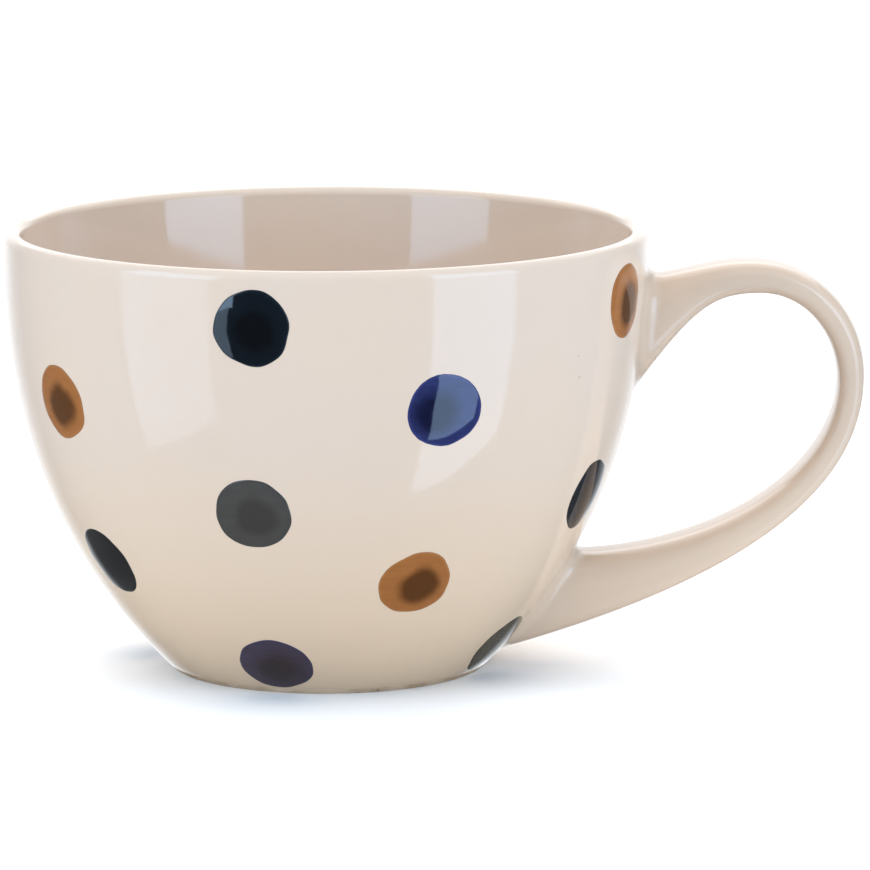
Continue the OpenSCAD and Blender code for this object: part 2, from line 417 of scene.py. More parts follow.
def new_material(
    name: str, settings: Mapping[str, Feed]
) -> tuple[bpy.types.Material, NodeBuilder, bpy.types.Node]:
    """Makes a material with nothing in its tree but a Principled shader.

    Args:
        name: Name of the material.
        settings: Constant inputs of the shader, by name.

    Returns:
        The material, a builder for its tree and the shader node.
    """
    material = bpy.data.materials.new(name)
    material.use_nodes = True
    nodes = material.node_tree.nodes
    nodes.clear()
    builder = NodeBuilder(material.node_tree)
    shader = builder.node("ShaderNodeBsdfPrincipled", settings)
    builder.node("ShaderNodeOutputMaterial", {"Surface": Wire(builder, shader.outputs[0])})
    return material, builder, shader


def colour_mix(builder: NodeBuilder, share: Feed, a: Feed, b: Feed) -> Wire:
    """Mixes two colours.

    Args:
        builder: Builder of the material.
        share: Share of the second colour.
        a: First colour, a wire or a constant.
        b: Second colour.

    Returns:
        The mixed colour.
    """
    node = builder.tree.nodes.new("ShaderNodeMix")
    node.data_type = "RGBA"
    for socket, value in ((node.inputs[0], share), (node.inputs[6], a), (node.inputs[7], b)):
        builder.feed(socket, value if isinstance(value, (Wire, float, int)) else (*value, 1.0))
    return Wire(builder, node.outputs[2])


@dataclass(frozen=True)
class CreamGlaze:
    """Warm cream glaze that thins over the lip and holds a few iron specks; low down it turns to a
    second colour as painted light and shade, and that colour also tints random clouds.
    """

    name: str = "fired_cream_glaze"
    cream: Colour = (0.598, 0.486, 0.400)
    # Colour low down: painted shade on the bowl, where it is tanner, and painted light on the handle,
    # where it is lighter; also the tone of the random clouds
    painted_low_light_and_cloud: Colour = (0.635, 0.486, 0.347)
    thin: Colour = (0.60, 0.51, 0.43)
    speck: Colour = (0.20, 0.13, 0.08)
    roughness: float = 0.07
    ior: float = 1.5
    painted_light_top: float = 0.055
    painted_light_sway: float = 0.03
    lip: float = 0.077
    thin_band: float = 0.0012
    thin_share: float = 0.6
    cloud_scale: float = 38.0
    cloud_share: float = 0.35
    speck_scale: float = 210.0
    speck_size: float = 0.035
    speck_share: float = 0.12
    speck_strength: float = 0.8
    ripple_scale: float = 90.0
    ripple_height: float = 0.00006
    peel_scale: float = 900.0
    peel_height: float = 0.0000025

    def build(self) -> bpy.types.Material:
        """Builds the material.

        Returns:
            Material that reads Object coordinates.
        """
        material, b, shader = new_material(self.name, {"Roughness": self.roughness, "IOR": self.ior})
        place = b.object_place()
        _, _, height = b.split(place)
        cloud = b.noise(place, self.cloud_scale, 3.0)
        # Painted light and shade: low down, with a cloudy boundary, the colour turns to the second
        # colour, tanner on the bowl and lighter on the handle
        painted_low_light_share = b.ease(height + (cloud - 0.5) * self.painted_light_sway, 0.0, self.painted_light_top, 1.0, 0.0)
        colour = colour_mix(b, painted_low_light_share, self.cream, self.painted_low_light_and_cloud)
        clouds = b.ease(cloud, 0.35, 0.75, 0.0, self.cloud_share)
        colour = colour_mix(b, clouds, colour, self.painted_low_light_and_cloud)
        crest = b.ease(height, self.lip - self.thin_band, self.lip, 0.0, self.thin_share)
        colour = colour_mix(b, crest, colour, self.thin)
        colour = colour_mix(b, self.specks(b, place), colour, self.speck)
        b.feed(shader.inputs["Base Color"], colour)
        b.feed(shader.inputs["Normal"], self.skin(b, place))
        return material

    def specks(self, b: NodeBuilder, place: Wire) -> Wire:
        """Mask of small scattered specks.

        Args:
            b: Builder of the material.
            place: Object coordinates.

        Returns:
            The speck's strength inside one and zero elsewhere.
        """
        cells = b.node("ShaderNodeTexVoronoi", {"Vector": place, "Scale": self.speck_scale})
        share, size, _ = b.split(Wire(b, cells.outputs["Color"]))
        chosen = b.maths("LESS_THAN", share, self.speck_share)
        radius = self.speck_size * (size + 0.4)
        inside = b.ease(Wire(b, cells.outputs["Distance"]) / radius, 0.6, 1.0, self.speck_strength, 0.0)
        return inside * chosen

    def skin(self, b: NodeBuilder, place: Wire) -> Wire:
        """Slow ripple and fine peel of the fired surface.

        Args:
            b: Builder of the material.
            place: Object coordinates.

        Returns:
            Normal of the surface.
        """
        ripple = b.noise(place, self.ripple_scale, 1.0, 3.0)
        inputs = {"Height": ripple, "Distance": self.ripple_height, "Strength": 1.0}
        slow = b.use("ShaderNodeBump", inputs)
        peel = b.noise(place, self.peel_scale, 1.0, 5.0)
        return b.use("ShaderNodeBump", {"Height": peel, "Distance": self.peel_height, "Normal": slow})


@dataclass(frozen=True)
class BareClay:
    """Unglazed stoneware, dry and sandy."""

    name: str = "fired_bare_clay"
    pale: Colour = (0.60, 0.47, 0.34)
    dark: Colour = (0.40, 0.28, 0.18)
    grit: Colour = (0.13, 0.085, 0.05)
    roughness: float = 0.85
    cloud_scale: float = 160.0
    grit_scale: float = 900.0
    grit_share: float = 0.15
    gloss: float = 0.25
    sand_height: float = 0.00006

    def build(self) -> bpy.types.Material:
        """Builds the material.

        Returns:
            Material that reads Object coordinates.
        """
        settings = {"Roughness": self.roughness, "Specular IOR Level": self.gloss}
        material, b, shader = new_material(self.name, settings)
        place = b.object_place()
        cloud = b.noise(place, self.cloud_scale, 5.0)
        colour = colour_mix(b, b.ease(cloud, 0.35, 0.7), self.pale, self.dark)
        cells = b.node("ShaderNodeTexVoronoi", {"Vector": place, "Scale": self.grit_scale})
        share, _, _ = b.split(Wire(b, cells.outputs["Color"]))
        grain = b.ease(Wire(b, cells.outputs["Distance"]), 0.15, 0.3, 0.7, 0.0)
        colour = colour_mix(b, grain * b.maths("LESS_THAN", share, self.grit_share), colour, self.grit)
        b.feed(shader.inputs["Base Color"], colour)
        sand = b.noise(place, self.grit_scale, 3.0, 2.0)
        grains = {"Height": sand, "Distance": self.sand_height, "Strength": 0.8}
        b.feed(shader.inputs["Normal"], b.use("ShaderNodeBump", grains))
        return material


@dataclass(frozen=True)
class DabGlaze:
    """Coloured glaze dabbed on with a brush, with a dark heart where the brush left the most.

    The pattern follows the dab's own map, in which its edge is one unit from its middle.
    """

    name: str
    body: Colour
    heart: Colour
    edge: Colour
    heart_size: float = 0.52
    heart_soft: float = 0.17
    heart_strength: float = 0.9
    heart_aside: tuple[float, float] = (0.1, -0.08)
    heart_wander: float = 0.3
    edge_width: float = 0.1
    edge_wander: float = 0.06
    edge_strength: float = 0.6
    mottle: float = 0.25
    cloud_scale: float = 260.0
    stroke_scale: float = 1.4
    stroke_stretch: tuple[float, float, float] = (1.2, 5.0, 1.0)
    ripple_height: float = 0.00002
    roughness: float = 0.06
    ior: float = 1.68

    def build(self) -> bpy.types.Material:
        """Builds the material.

        Returns:
            Material that reads the dab's map.
        """
        material, b, shader = new_material(self.name, {"Roughness": self.roughness, "IOR": self.ior})
        dab = b.use("ShaderNodeUVMap", {}, uv_map=Dabs.MAP)
        place = b.object_place()
        cloud = b.noise(place, self.cloud_scale, 3.0)
        stroke = b.noise(b.maths("MULTIPLY", dab, self.stroke_stretch), self.stroke_scale, 3.0)
        tone = b.ease(stroke, 0.3, 0.7, 0.0, self.mottle)
        colour = colour_mix(b, tone, self.body, self.heart)
        centred = b.maths("SUBTRACT", dab, (*self.heart_aside, 0.0))
        from_heart = b.length(centred) + (cloud - 0.5) * self.heart_wander
        inner, outer = self.heart_size - self.heart_soft, self.heart_size + self.heart_soft
        heart = b.ease(from_heart, inner, outer, self.heart_strength, 0.0)
        colour = colour_mix(b, heart, colour, self.heart)
        from_middle = b.length(dab) + (cloud - 0.5) * self.edge_wander
        rim = b.ease(from_middle, 1.0 - self.edge_width, 1.0, 0.0, self.edge_strength)
        colour = colour_mix(b, rim, colour, self.edge)
        b.feed(shader.inputs["Base Color"], colour)
        ripple = {"Height": cloud, "Distance": self.ripple_height, "Strength": 1.0}
        b.feed(shader.inputs["Normal"], b.use("ShaderNodeBump", ripple))
        return material


class DabColour(Enum):
    """Coloured glazes of the dots, by the word that their nodes start with."""

    OCHRE = DabGlaze(
        "fired_ochre_glaze",
        body=(0.30, 0.115, 0.036),
        heart=(0.065, 0.025, 0.008),
        edge=(0.36, 0.155, 0.055),
        mottle=0.12,
        heart_size=0.58,
        ior=1.45,
    )
    BLACK = DabGlaze(
        "fired_black_glaze",
        body=(0.013, 0.015, 0.018),
        heart=(0.006, 0.007, 0.008),
        edge=(0.03, 0.028, 0.028),
        ior=1.42,
    )
    NAVY = DabGlaze(
        "fired_navy_glaze", (0.005, 0.0078, 0.0115), (0.003, 0.0035, 0.0045), (0.009, 0.018, 0.028)
    )
    COBALT = DabGlaze(
        "fired_cobalt_glaze",
        body=(0.023, 0.030, 0.105),
        heart=(0.004, 0.005, 0.020),
        edge=(0.045, 0.055, 0.19),
        heart_size=0.58,
        heart_soft=0.25,
        heart_aside=(-0.25, -0.05),
    )
    INDIGO = DabGlaze(
        "fired_indigo_glaze",
        body=(0.060, 0.046, 0.068),
        heart=(0.038, 0.029, 0.029),
        edge=(0.045, 0.042, 0.09),
        heart_size=0.62,
        heart_soft=0.35,
    )
    SLATE = DabGlaze(
        "fired_slate_glaze", (0.062, 0.057, 0.052), (0.042, 0.038, 0.035), (0.045, 0.045, 0.045)
    )
    TEAL = DabGlaze(
        "fired_teal_glaze", (0.016, 0.014, 0.014), (0.008, 0.008, 0.008), (0.018, 0.028, 0.030)
    )
    OLIVE = DabGlaze(
        "fired_olive_glaze", (0.085, 0.070, 0.050), (0.050, 0.040, 0.028), (0.06, 0.05, 0.036)
    )


# ---------------------------------------------------------------- shapes


def bezier(points: Sequence[np.ndarray], t: np.ndarray) -> np.ndarray:
    """Points of a cubic curve.

    Args:
        points: Its four control points.
        t: Places along it, from 0 to 1.

    Returns:
        One row for each place.
    """
    t = np.asarray(t, float)[:, None]
    a, b, c, d = points
    return (1 - t) ** 3 * a + 3 * (1 - t) ** 2 * t * b + 3 * (1 - t) * t**2 * c + t**3 * d


def bezier_slope(points: Sequence[np.ndarray], t: np.ndarray) -> np.ndarray:
    """Slopes of a cubic curve.

    Args:
        points: Its four control points.
        t: Places along it, from 0 to 1.

    Returns:
        One row for each place.
    """
    t = np.asarray(t, float)[:, None]
    a, b, c, d = points
    return 3 * (1 - t) ** 2 * (b - a) + 6 * (1 - t) * t * (c - b) + 3 * t**2 * (d - c)


def heading(degrees: float) -> np.ndarray:
    """Unit vector in the XZ plane at an angle above +X."""
    return np.array([math.cos(math.radians(degrees)), math.sin(math.radians(degrees))])


def arc(centre: Sequence[float], radius: float, start: float, end: float, count: int) -> np.ndarray:
    """Points of a circular arc, with its ends, from one angle to another in degrees."""
    return np.array([np.array(centre) + radius * heading(a) for a in np.linspace(start, end, count)])


@dataclass
class Bowl:
    """Bowl of the mug: clay body, its coat of glaze and the glaze inside the foot ring."""

    rim_r: float
    height: float
    base_r: float
    foot_rise: float = 45.0
    upright: float = 14 * MM
    wall: float = 5 * MM
    lip: float = 3.2 * MM
    lip_taper: float = 24 * MM
    floor: float = 5 * MM
    well: float = 9 * MM
    ring_w: float = 3.5 * MM
    ring_lean: float = 0.8 * MM
    ring_depth: float = 1.8 * MM
    bare: float = 0.8 * MM
    glaze: float = 0.3 * MM
    edge_round: float = 0.35 * MM
    seam: float = 0.02 * MM
    unevenness: float = 0.0016
    seed: float = 4.0
    side_steps: int = 64
    lip_steps: int = 24
    floor_steps: int = 12
    bead_steps: int = 9
    sectors: int = 256
    # The ripple of the thrown wall: how much faster it changes up than round, and its scale
    RIPPLE_RISE: ClassVar[float] = 18.0
    RIPPLE_SCALE: ClassVar[float] = 1.1

    @classmethod
    def from_frame(cls) -> "Bowl":
        """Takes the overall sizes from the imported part.

        Returns:
            The bowl.
        """
        _, coat_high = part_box("bowl_glaze")
        _, base_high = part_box("base_glaze")
        return cls(rim_r=coat_high.x, height=coat_high.z, base_r=base_high.x)

    @property
    def ring_in_r(self) -> float:
        """Radius of the foot ring's inner edge."""
        return self.base_r + self.ring_lean

    @property
    def foot_r(self) -> float:
        """Radius of the foot."""
        return self.ring_in_r + self.ring_w

    @property
    def lip_z(self) -> float:
        """Height of the middle of the rounded lip."""
        return self.height - self.lip / 2

    @property
    def side_points(self) -> list[np.ndarray]:
        """Control points of the side.

        Returns:
            Radius and height of each.
        """
        corner = (self.rim_r - self.foot_r) * math.tan(math.radians(self.foot_rise))
        heights = (corner, self.lip_z - self.upright, self.lip_z)
        return [np.array((self.foot_r, 0.0)), *(np.array((self.rim_r, z)) for z in heights)]

    def side(self, t: np.ndarray, depth: Union[float, np.ndarray] = 0.0) -> np.ndarray:
        """Points of the side, moved into the wall.

        Args:
            t: Places on the side's curve, from the foot to the lip.
            depth: How far into the wall.

        Returns:
            Radius and height of each point.
        """
        slope = bezier_slope(self.side_points, t)
        inward = np.stack([-slope[:, 1], slope[:, 0]], axis=1)
        inward /= np.linalg.norm(inward, axis=1)[:, None]
        return bezier(self.side_points, t) + np.broadcast_to(depth, len(slope))[:, None] * inward

    def inside(self, t: np.ndarray, depth: float) -> np.ndarray:
        """Points of the inner side.

        Args:
            t: Places on the side's curve.
            depth: Depth below the glaze's surface.

        Returns:
            Radius and height of each point.
        """
        height = self.side(t)[:, 1]
        down = np.clip((self.lip_z - height) / self.lip_taper, 0.0, 1.0)
        wall = self.lip + (self.wall - self.lip) * down * (2 - down)
        return self.side(t, wall - depth)

    def coat_line(self, depth: float) -> np.ndarray:
        """Line from the bare band up the side, over the lip and down to the middle of the floor.

        Args:
            depth: Depth of the line below the glaze's surface.

        Returns:
            Radius and height of each point.
        """
        fine = np.linspace(0.0, 1.0, SAMPLES)
        floor_top = self.ring_depth + self.floor
        floor_z = floor_top - depth
        start = float(np.interp(self.bare, self.side(fine)[:, 1], fine))
        well_t = float(np.interp(floor_top + self.well, self.inside(fine, 0.0)[:, 1], fine))
        up = self.side(np.linspace(start, 1.0, self.side_steps), depth)
        lip_middle = (self.rim_r - self.lip / 2, self.lip_z)
        over = arc(lip_middle, self.lip / 2 - depth, 0, 180, self.lip_steps)[1:-1]
        down = self.inside(np.linspace(1.0, well_t, self.side_steps), depth)
        slope = bezier_slope(self.side_points, np.array([well_t]))[0]
        corner = down[-1] - slope * (down[-1][1] - floor_z) / slope[1]
        end = corner - np.array([np.linalg.norm(down[-1] - corner), 0.0])
        u = np.linspace(0.0, 1.0, self.lip_steps)[1:, None]
        well = (1 - u) ** 2 * down[-1] + 2 * (1 - u) * u * corner + u**2 * end
        floor = np.linspace(end, [0.0, floor_z], self.floor_steps)[1:]
        return np.concatenate([up, over, down, well, floor])

    def coat_outline(self) -> np.ndarray:
        """Closed outline of the coat, with a rounded edge at the bare band.

        Returns:
            Radius and height of each point, from axis to axis.
        """
        outer, inner = self.coat_line(0.0), self.coat_line(self.glaze)
        edge = (outer[0] + inner[0]) / 2
        across = (outer[0] - inner[0]) / 2
        down = np.array([across[1], -across[0]])
        turns = np.radians(np.linspace(-90.0, 90.0, self.bead_steps)[1:-1])
        bead = [edge + across * math.sin(turn) + down * math.cos(turn) for turn in turns]
        return np.concatenate([inner[::-1], np.array(bead), outer])

    def clay_outline(self) -> np.ndarray:
        """Closed outline of the clay body, with rounded edges on the foot ring.

        Returns:
            Radius and height of each point, from axis to axis.
        """
        top = self.ring_depth + self.glaze
        r = self.edge_round
        lean = math.degrees(math.atan2(self.ring_depth, self.ring_lean))
        ceiling = np.linspace([0.0, top], [self.base_r - r, top], 10)
        # The middles of both roundings lie a little inside the ring's corners
        inner_edge = arc((self.ring_in_r + 0.9 * r, r), r, 90 + lean, 270, 6)
        outer_edge = arc((self.foot_r - 0.45 * r, r), r, 270, 315, 5)
        # The bare band, as places along the side, and the step in under the glaze's edge
        band = self.side(np.linspace(0.006, 0.011, 4))
        shelf = self.side(np.array([0.012]), 0.6 * self.glaze)
        under = self.coat_line(self.glaze + self.seam)
        return np.concatenate([ceiling, inner_edge, outer_edge, band, shelf, under])

    def base_outline(self) -> np.ndarray:
        """Outline of the glaze inside the foot ring, with a rounded edge.

        Returns:
            Radius and height of each point, from axis to axis.
        """
        low, r = self.ring_depth, self.glaze / 2
        middle = low + r
        flat = np.linspace([0.0, low], [self.base_r - r, low], 24)
        rim = arc((self.base_r - r, middle), r, -90, 90, self.bead_steps)[1:-1]
        back = np.linspace([self.base_r - r, low + 2 * r], [0.0, low + 2 * r], 24)
        return np.concatenate([flat, rim, back])

    def walked_side(self) -> tuple[np.ndarray, np.ndarray]:
        """Closely spaced points of the side, and the length up the side to each."""
        side = self.side(np.linspace(0.0, 1.0, FINE_SAMPLES))
        return side, lengths(side)

    @staticmethod
    def lathe_tree() -> bpy.types.NodeTree:
        """Tree that turns an outline about Z.

        The outline starts and ends on the axis, so the result is a closed solid. Unevenness
        moves the wall in and out a little, as a hand-thrown wall does.

        Returns:
            Geometry Nodes tree.
        """
        g = GeometryBuilder("turned_outline")
        source, sectors = g.input("Outline", "Object"), g.input("Sectors", "Int")
        unevenness, seed = g.input("Unevenness", "Float"), g.input("Seed", "Float")
        finish = g.input("Finish", "Material")
        line = g.line_of(source)
        mesh, column, row = g.grid(sectors, g.count_of(line) - 1)
        radius, _, height = g.split(g.point_of(line, row))
        turn = column / sectors * math.tau
        across, along = g.maths("COSINE", turn), g.maths("SINE", turn)
        place = g.vector(across, along, height * Bowl.RIPPLE_RISE)
        ripple = g.noise(place, Bowl.RIPPLE_SCALE, 1.0, seed) - 0.5
        radius = radius * (ripple * unevenness + 1.0)
        mesh = g.moved(mesh, g.vector(radius * across, radius * along, height))
        return g.finish(mesh, finish)

    def build(self, cream: bpy.types.Material, clay: bpy.types.Material) -> None:
        """Builds the three turned pieces.

        Args:
            cream: Glaze of the bowl.
            clay: Bare clay of the foot ring.
        """
        tree = self.lathe_tree()
        pieces = (
            ("glazed_bowl", self.coat_outline(), cream, "cream_glaze", "bowl_glaze"),
            ("clay_bowl", self.clay_outline(), clay, "bare_clay", "bowl"),
            ("glazed_base", self.base_outline(), cream, "cream_glaze", "base_glaze"),
        )
        for name, outline, finish, slot, node in pieces:
            line = line_object(name + "_line", outline)
            inputs = {
                "Outline": line,
                "Sectors": self.sectors,
                "Unevenness": self.unevenness,
                "Seed": self.seed,
                "Finish": finish,
            }
            settle(grown(name, tree, inputs), slot, node)
            drop([line])


@dataclass
class Knot:
    """Point that a face line of the strap passes through, with its heading in degrees."""

    x: float
    z: float
    heading: float

    @property
    def point(self) -> np.ndarray:
        """Place of the knot in the XZ plane."""
        return np.array([self.x, self.z])


def stretch(a: Knot, b: Knot, pull: float) -> list[np.ndarray]:
    """Control points of the curve between two knots.

    Args:
        a: First knot.
        b: Second knot.
        pull: How far the curve reaches towards the corner where the headings cross.

    Returns:
        Four control points.
    """
    u, v, w = heading(a.heading), heading(b.heading), b.point - a.point
    corner = a.point + u * (w[0] * v[1] - w[1] * v[0]) / (u[0] * v[1] - u[1] * v[0])
    return [a.point, a.point + pull * (corner - a.point), b.point + pull * (corner - b.point), b.point]


@dataclass
class Root:
    """Place where the strap meets the wall, and the fillet of slip round it."""

    name: str
    node: str
    first: bool
    spread: float
    spread_below: float


@dataclass
class Handle:
    """Strap handle with a fillet of slip at each root."""

    bowl: Bowl
    reach: float
    grip_w: float = 13.6 * MM
    root_w: float = 17.5 * MM
    crest_t: float = 5.7 * MM
    grip_t: float = 4.8 * MM
    crest_drop: float = 5.8 * MM
    crest_out: float = 18 * MM
    turn_drop: float = 26 * MM
    upper_drop: float = 8.9 * MM
    upper_h: float = 18.9 * MM
    lower_z: float = 2.7 * MM
    lower_h: float = 17 * MM
    crest_shift: float = 1.5 * MM
    outer_pulls: tuple[float, ...] = (0.95, 0.57, 0.67)
    inner_pulls: tuple[float, ...] = (0.86, 0.55, 0.55)
    power: float = 3.0
    bury: float = 2.5 * MM
    steps: int = 56
    sides: int = 96
    fillet_steps: int = 14
    # Shares of a fillet's reach: its curve's pull and how deep its hidden corner lies
    fillet_pull: float = 0.62
    fillet_depth: float = 0.35
    # How much further out or in to look, for the heading at a place
    LOOK_AHEAD: ClassVar[float] = 1.05
    LOOK_BACK: ClassVar[float] = 0.97
    FLARE_POWER: ClassVar[float] = 1.5
    STATION: ClassVar[str] = "station"
    SIDE: ClassVar[str] = "side"

    @classmethod
    def from_frame(cls, bowl: Bowl) -> "Handle":
        """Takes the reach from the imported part."""
        _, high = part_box("handle_glaze")
        return cls(bowl=bowl, reach=high.x - bowl.rim_r)

    def wall_r(self, z: float) -> float:
        """Radius of the bowl's side at a height."""
        fine = self.bowl.side(np.linspace(0.0, 1.0, SAMPLES))
        return float(np.interp(z, fine[:, 1], fine[:, 0]))

    def face_line(self, knots: Sequence[Knot], pulls: Sequence[float]) -> np.ndarray:
        """Line of one face of the strap, run on into the wall at both ends.

        Args:
            knots: Its four knots.
            pulls: Pull of each stretch between them.

        Returns:
            X and Z of each point. The first and last come twice, for the strap's closed ends.
        """
        rows = [knots[0].point - self.bury * heading(knots[0].heading)] * 2
        for i, pull in enumerate(pulls):
            places = np.linspace(0.0, 1.0, self.steps + 1)[: self.steps]
            rows.extend(bezier(stretch(knots[i], knots[i + 1], pull), places))
        rows.append(knots[-1].point)
        rows.extend([knots[-1].point + self.bury * heading(knots[-1].heading)] * 2)
        return np.array(rows)

    def face_lines(self) -> tuple[np.ndarray, np.ndarray]:
        """Lines of the strap's two faces.

        Returns:
            X and Z of the outer face's points, then of the inner face's.
        """
        top = self.bowl.height
        crest_x, grip_x = self.bowl.rim_r + self.crest_out, self.bowl.rim_r + self.reach
        upper, lower = top - self.upper_drop, self.lower_z + self.lower_h
        upper_foot = upper - self.upper_h
        outer = [
            Knot(self.wall_r(upper), upper, 13),
            Knot(crest_x, top - self.crest_drop, 0),
            Knot(grip_x, top - self.turn_drop, -90),
            Knot(self.wall_r(self.lower_z), self.lower_z, 196),
        ]
        inner = [
            Knot(self.wall_r(upper_foot), upper_foot, 54),
            Knot(crest_x + self.crest_shift, top - self.crest_drop - self.crest_t, 0),
            Knot(grip_x - self.grip_t, top - self.turn_drop - MM, -90),
            Knot(self.wall_r(lower), lower, 181),
        ]
        return self.face_line(outer, self.outer_pulls), self.face_line(inner, self.inner_pulls)

    @staticmethod
    def strap_tree() -> bpy.types.NodeTree:
        """Tree that sweeps a rounded section between two face lines.

        Each point keeps its station along the strap and its side round the section.

        Returns:
            Geometry Nodes tree.
        """
        g = GeometryBuilder("strap_between_lines")
        outer_source, inner_source = g.input("Outer line", "Object"), g.input("Inner line", "Object")
        sides, power = g.input("Sides", "Int"), g.input("Section power", "Float")
        grip_w, root_w = g.input("Grip width", "Float"), g.input("Root width", "Float")
        finish = g.input("Finish", "Material")
        outer, inner = g.line_of(outer_source), g.line_of(inner_source)
        last = g.count_of(outer) - 1
        mesh, side, station = g.grid(sides, last)
        above, below = g.point_of(outer, station), g.point_of(inner, station)
        # Place along the strap from 0 to 3, and how far into a root's flare it is
        along = (station - 2) / (last - 4) * 3
        into_root = g.maths("MAXIMUM", g.maths("MAXIMUM", 1 - along, along - 2), 0.0)
        flare = g.maths("MINIMUM", into_root, 1.0) ** Handle.FLARE_POWER
        width = grip_w + (root_w - grip_w) * flare
        # The first and last station shrink to a point and close the ends
        ends = g.maths("COMPARE", station, 0.0, 0.5) + g.maths("COMPARE", station, last, 0.5)
        size = 1 - ends
        turn = (side / sides * math.tau + math.pi) * -1.0
        across, up = g.maths("COSINE", turn), g.maths("SINE", turn)
        rounded = [
            g.maths("SIGN", value) * g.maths("ABSOLUTE", value) ** (2 / power) for value in (across, up)
        ]
        middle = (above + below) * 0.5
        offset = (above - below) * (rounded[1] * size * 0.5)
        sideways = g.vector(0.0, rounded[0] * size * width * 0.5, 0.0)
        position = middle + offset + sideways
        mesh = g.marked(mesh, Handle.STATION, station, "INT", "POINT")
        mesh = g.marked(mesh, Handle.SIDE, g.maths("MODULO", side, sides), "INT", "POINT")
        return g.finish(g.moved(mesh, position), finish)

    def strap_points(self, strap: bpy.types.Object) -> np.ndarray:
        """Points of the strap by station and side, without the closed ends.

        Args:
            strap: Mesh with the tree's marks.

        Returns:
            Array of stations by sides by three.
        """
        mesh = strap.data
        count = len(mesh.vertices)
        station, side = np.zeros(count, np.int32), np.zeros(count, np.int32)
        mesh.attributes[self.STATION].data.foreach_get("value", station)
        mesh.attributes[self.SIDE].data.foreach_get("value", side)
        last = station.max()
        table = np.zeros((last + 1, self.sides, 3))
        table[station, side] = coordinates(mesh)
        return table[1:last]

    def fillet(self, root: Root, lines: np.ndarray, finish: bpy.types.Material) -> bpy.types.Object:
        """Ring of slip that runs smoothly from the wall onto the strap.

        Args:
            root: The root it goes round.
            lines: Points of the strap by station and side, from the root outwards.
            finish: Its material.

        Returns:
            Closed ring.
        """
        side, length = self.bowl.walked_side()
        gap = np.hypot(lines[..., 0], lines[..., 1]) - np.interp(lines[..., 2], side[:, 1], side[:, 0])
        meets, starts = [], []
        for k in range(self.sides):
            i = int(np.argmax(gap[:, k] > 0))
            share = gap[i - 1, k] / (gap[i - 1, k] - gap[i, k])
            meets.append(lines[i - 1, k] + share * (lines[i, k] - lines[i - 1, k]))
            starts.append(i)
        meets = np.array(meets)
        # The seam on the unrolled wall: turn times radius, and length up the side
        around, radius = np.arctan2(meets[:, 1], meets[:, 0]), np.hypot(meets[:, 0], meets[:, 1])
        up = np.interp(meets[:, 2], side[:, 1], length)
        flat = np.stack([around * radius, up], axis=1)
        tangent = np.roll(flat, -1, axis=0) - np.roll(flat, 1, axis=0)
        outward = np.stack([tangent[:, 1], -tangent[:, 0]], axis=1)
        outward /= np.linalg.norm(outward, axis=1)[:, None]
        outward *= np.sign(((flat - flat.mean(axis=0)) * outward).sum(axis=1).mean())
        below = np.clip(-outward[:, 1], 0.0, 1.0) ** 2
        reach = root.spread + (root.spread_below - root.spread) * below
        on_wall, wall_way = [], []
        for k in range(self.sides):
            rows = []
            for part in (1.0, self.LOOK_BACK):
                a = up[k] + outward[k, 1] * reach[k] * part
                r, z = np.interp(a, length, side[:, 0]), np.interp(a, length, side[:, 1])
                turn = around[k] + outward[k, 0] * reach[k] * part / radius[k]
                rows.append(np.array([r * math.cos(turn), r * math.sin(turn), z]))
            on_wall.append(rows[0])
            wall_way.append((rows[1] - rows[0]) / np.linalg.norm(rows[1] - rows[0]))
        rings = []
        for k in range(self.sides):
            point, way = self.along_strap(lines[starts[k] :, k], meets[k], reach[k])
            pull = self.fillet_pull * reach[k]
            controls = [on_wall[k], on_wall[k] + pull * wall_way[k], point - pull * way, point]
            curve = bezier(controls, np.linspace(0.0, 1.0, self.fillet_steps))
            depth = self.fillet_depth * reach[k] * (wall_way[k] + way) * 0.5
            hidden = meets[k] - depth + 0.5 * (meets[k] - curve.mean(axis=0))
            rings.append(np.concatenate([curve, hidden[None]]))
        return ring_solid(root.name, np.array(rings), finish)

    @staticmethod
    def along_strap(
        line: np.ndarray, start: np.ndarray, distance: float
    ) -> tuple[np.ndarray, np.ndarray]:
        """Walks along a line of the strap.

        Args:
            line: Points of the line past the start.
            start: Where the line leaves the wall.
            distance: How far to walk.

        Returns:
            The point reached and the heading of the line there.
        """
        path = np.concatenate([start[None], line])
        walked = lengths(path)
        here, ahead = (
            np.array([np.interp(place, walked, path[:, i]) for i in range(3)])
            for place in (distance, distance * Handle.LOOK_AHEAD)
        )
        way = ahead - here
        return here, way / np.linalg.norm(way)

    def build(self, cream: bpy.types.Material) -> None:
        """Builds the strap and its two fillets.

        Args:
            cream: Their glaze.
        """
        lines = [line_object(f"strap_line_{i}", line) for i, line in enumerate(self.face_lines())]
        inputs = {
            "Outer line": lines[0],
            "Inner line": lines[1],
            "Sides": self.sides,
            "Section power": self.power,
            "Grip width": self.grip_w,
            "Root width": self.root_w,
            "Finish": cream,
        }
        strap = grown("strap_handle", self.strap_tree(), inputs)
        points = self.strap_points(strap)
        settle(strap, "cream_glaze", "handle", "handle_glaze")
        drop(lines)
        roots = (
            Root("upper_root_fillet", "upper_handle_slip", True, 3.4 * MM, 0.7 * MM),
            Root("lower_root_fillet", "lower_handle_slip", False, 3.2 * MM, 1.5 * MM),
        )
        for root in roots:
            outward = points if root.first else points[::-1]
            settle(self.fillet(root, outward, cream), "cream_glaze", root.node)


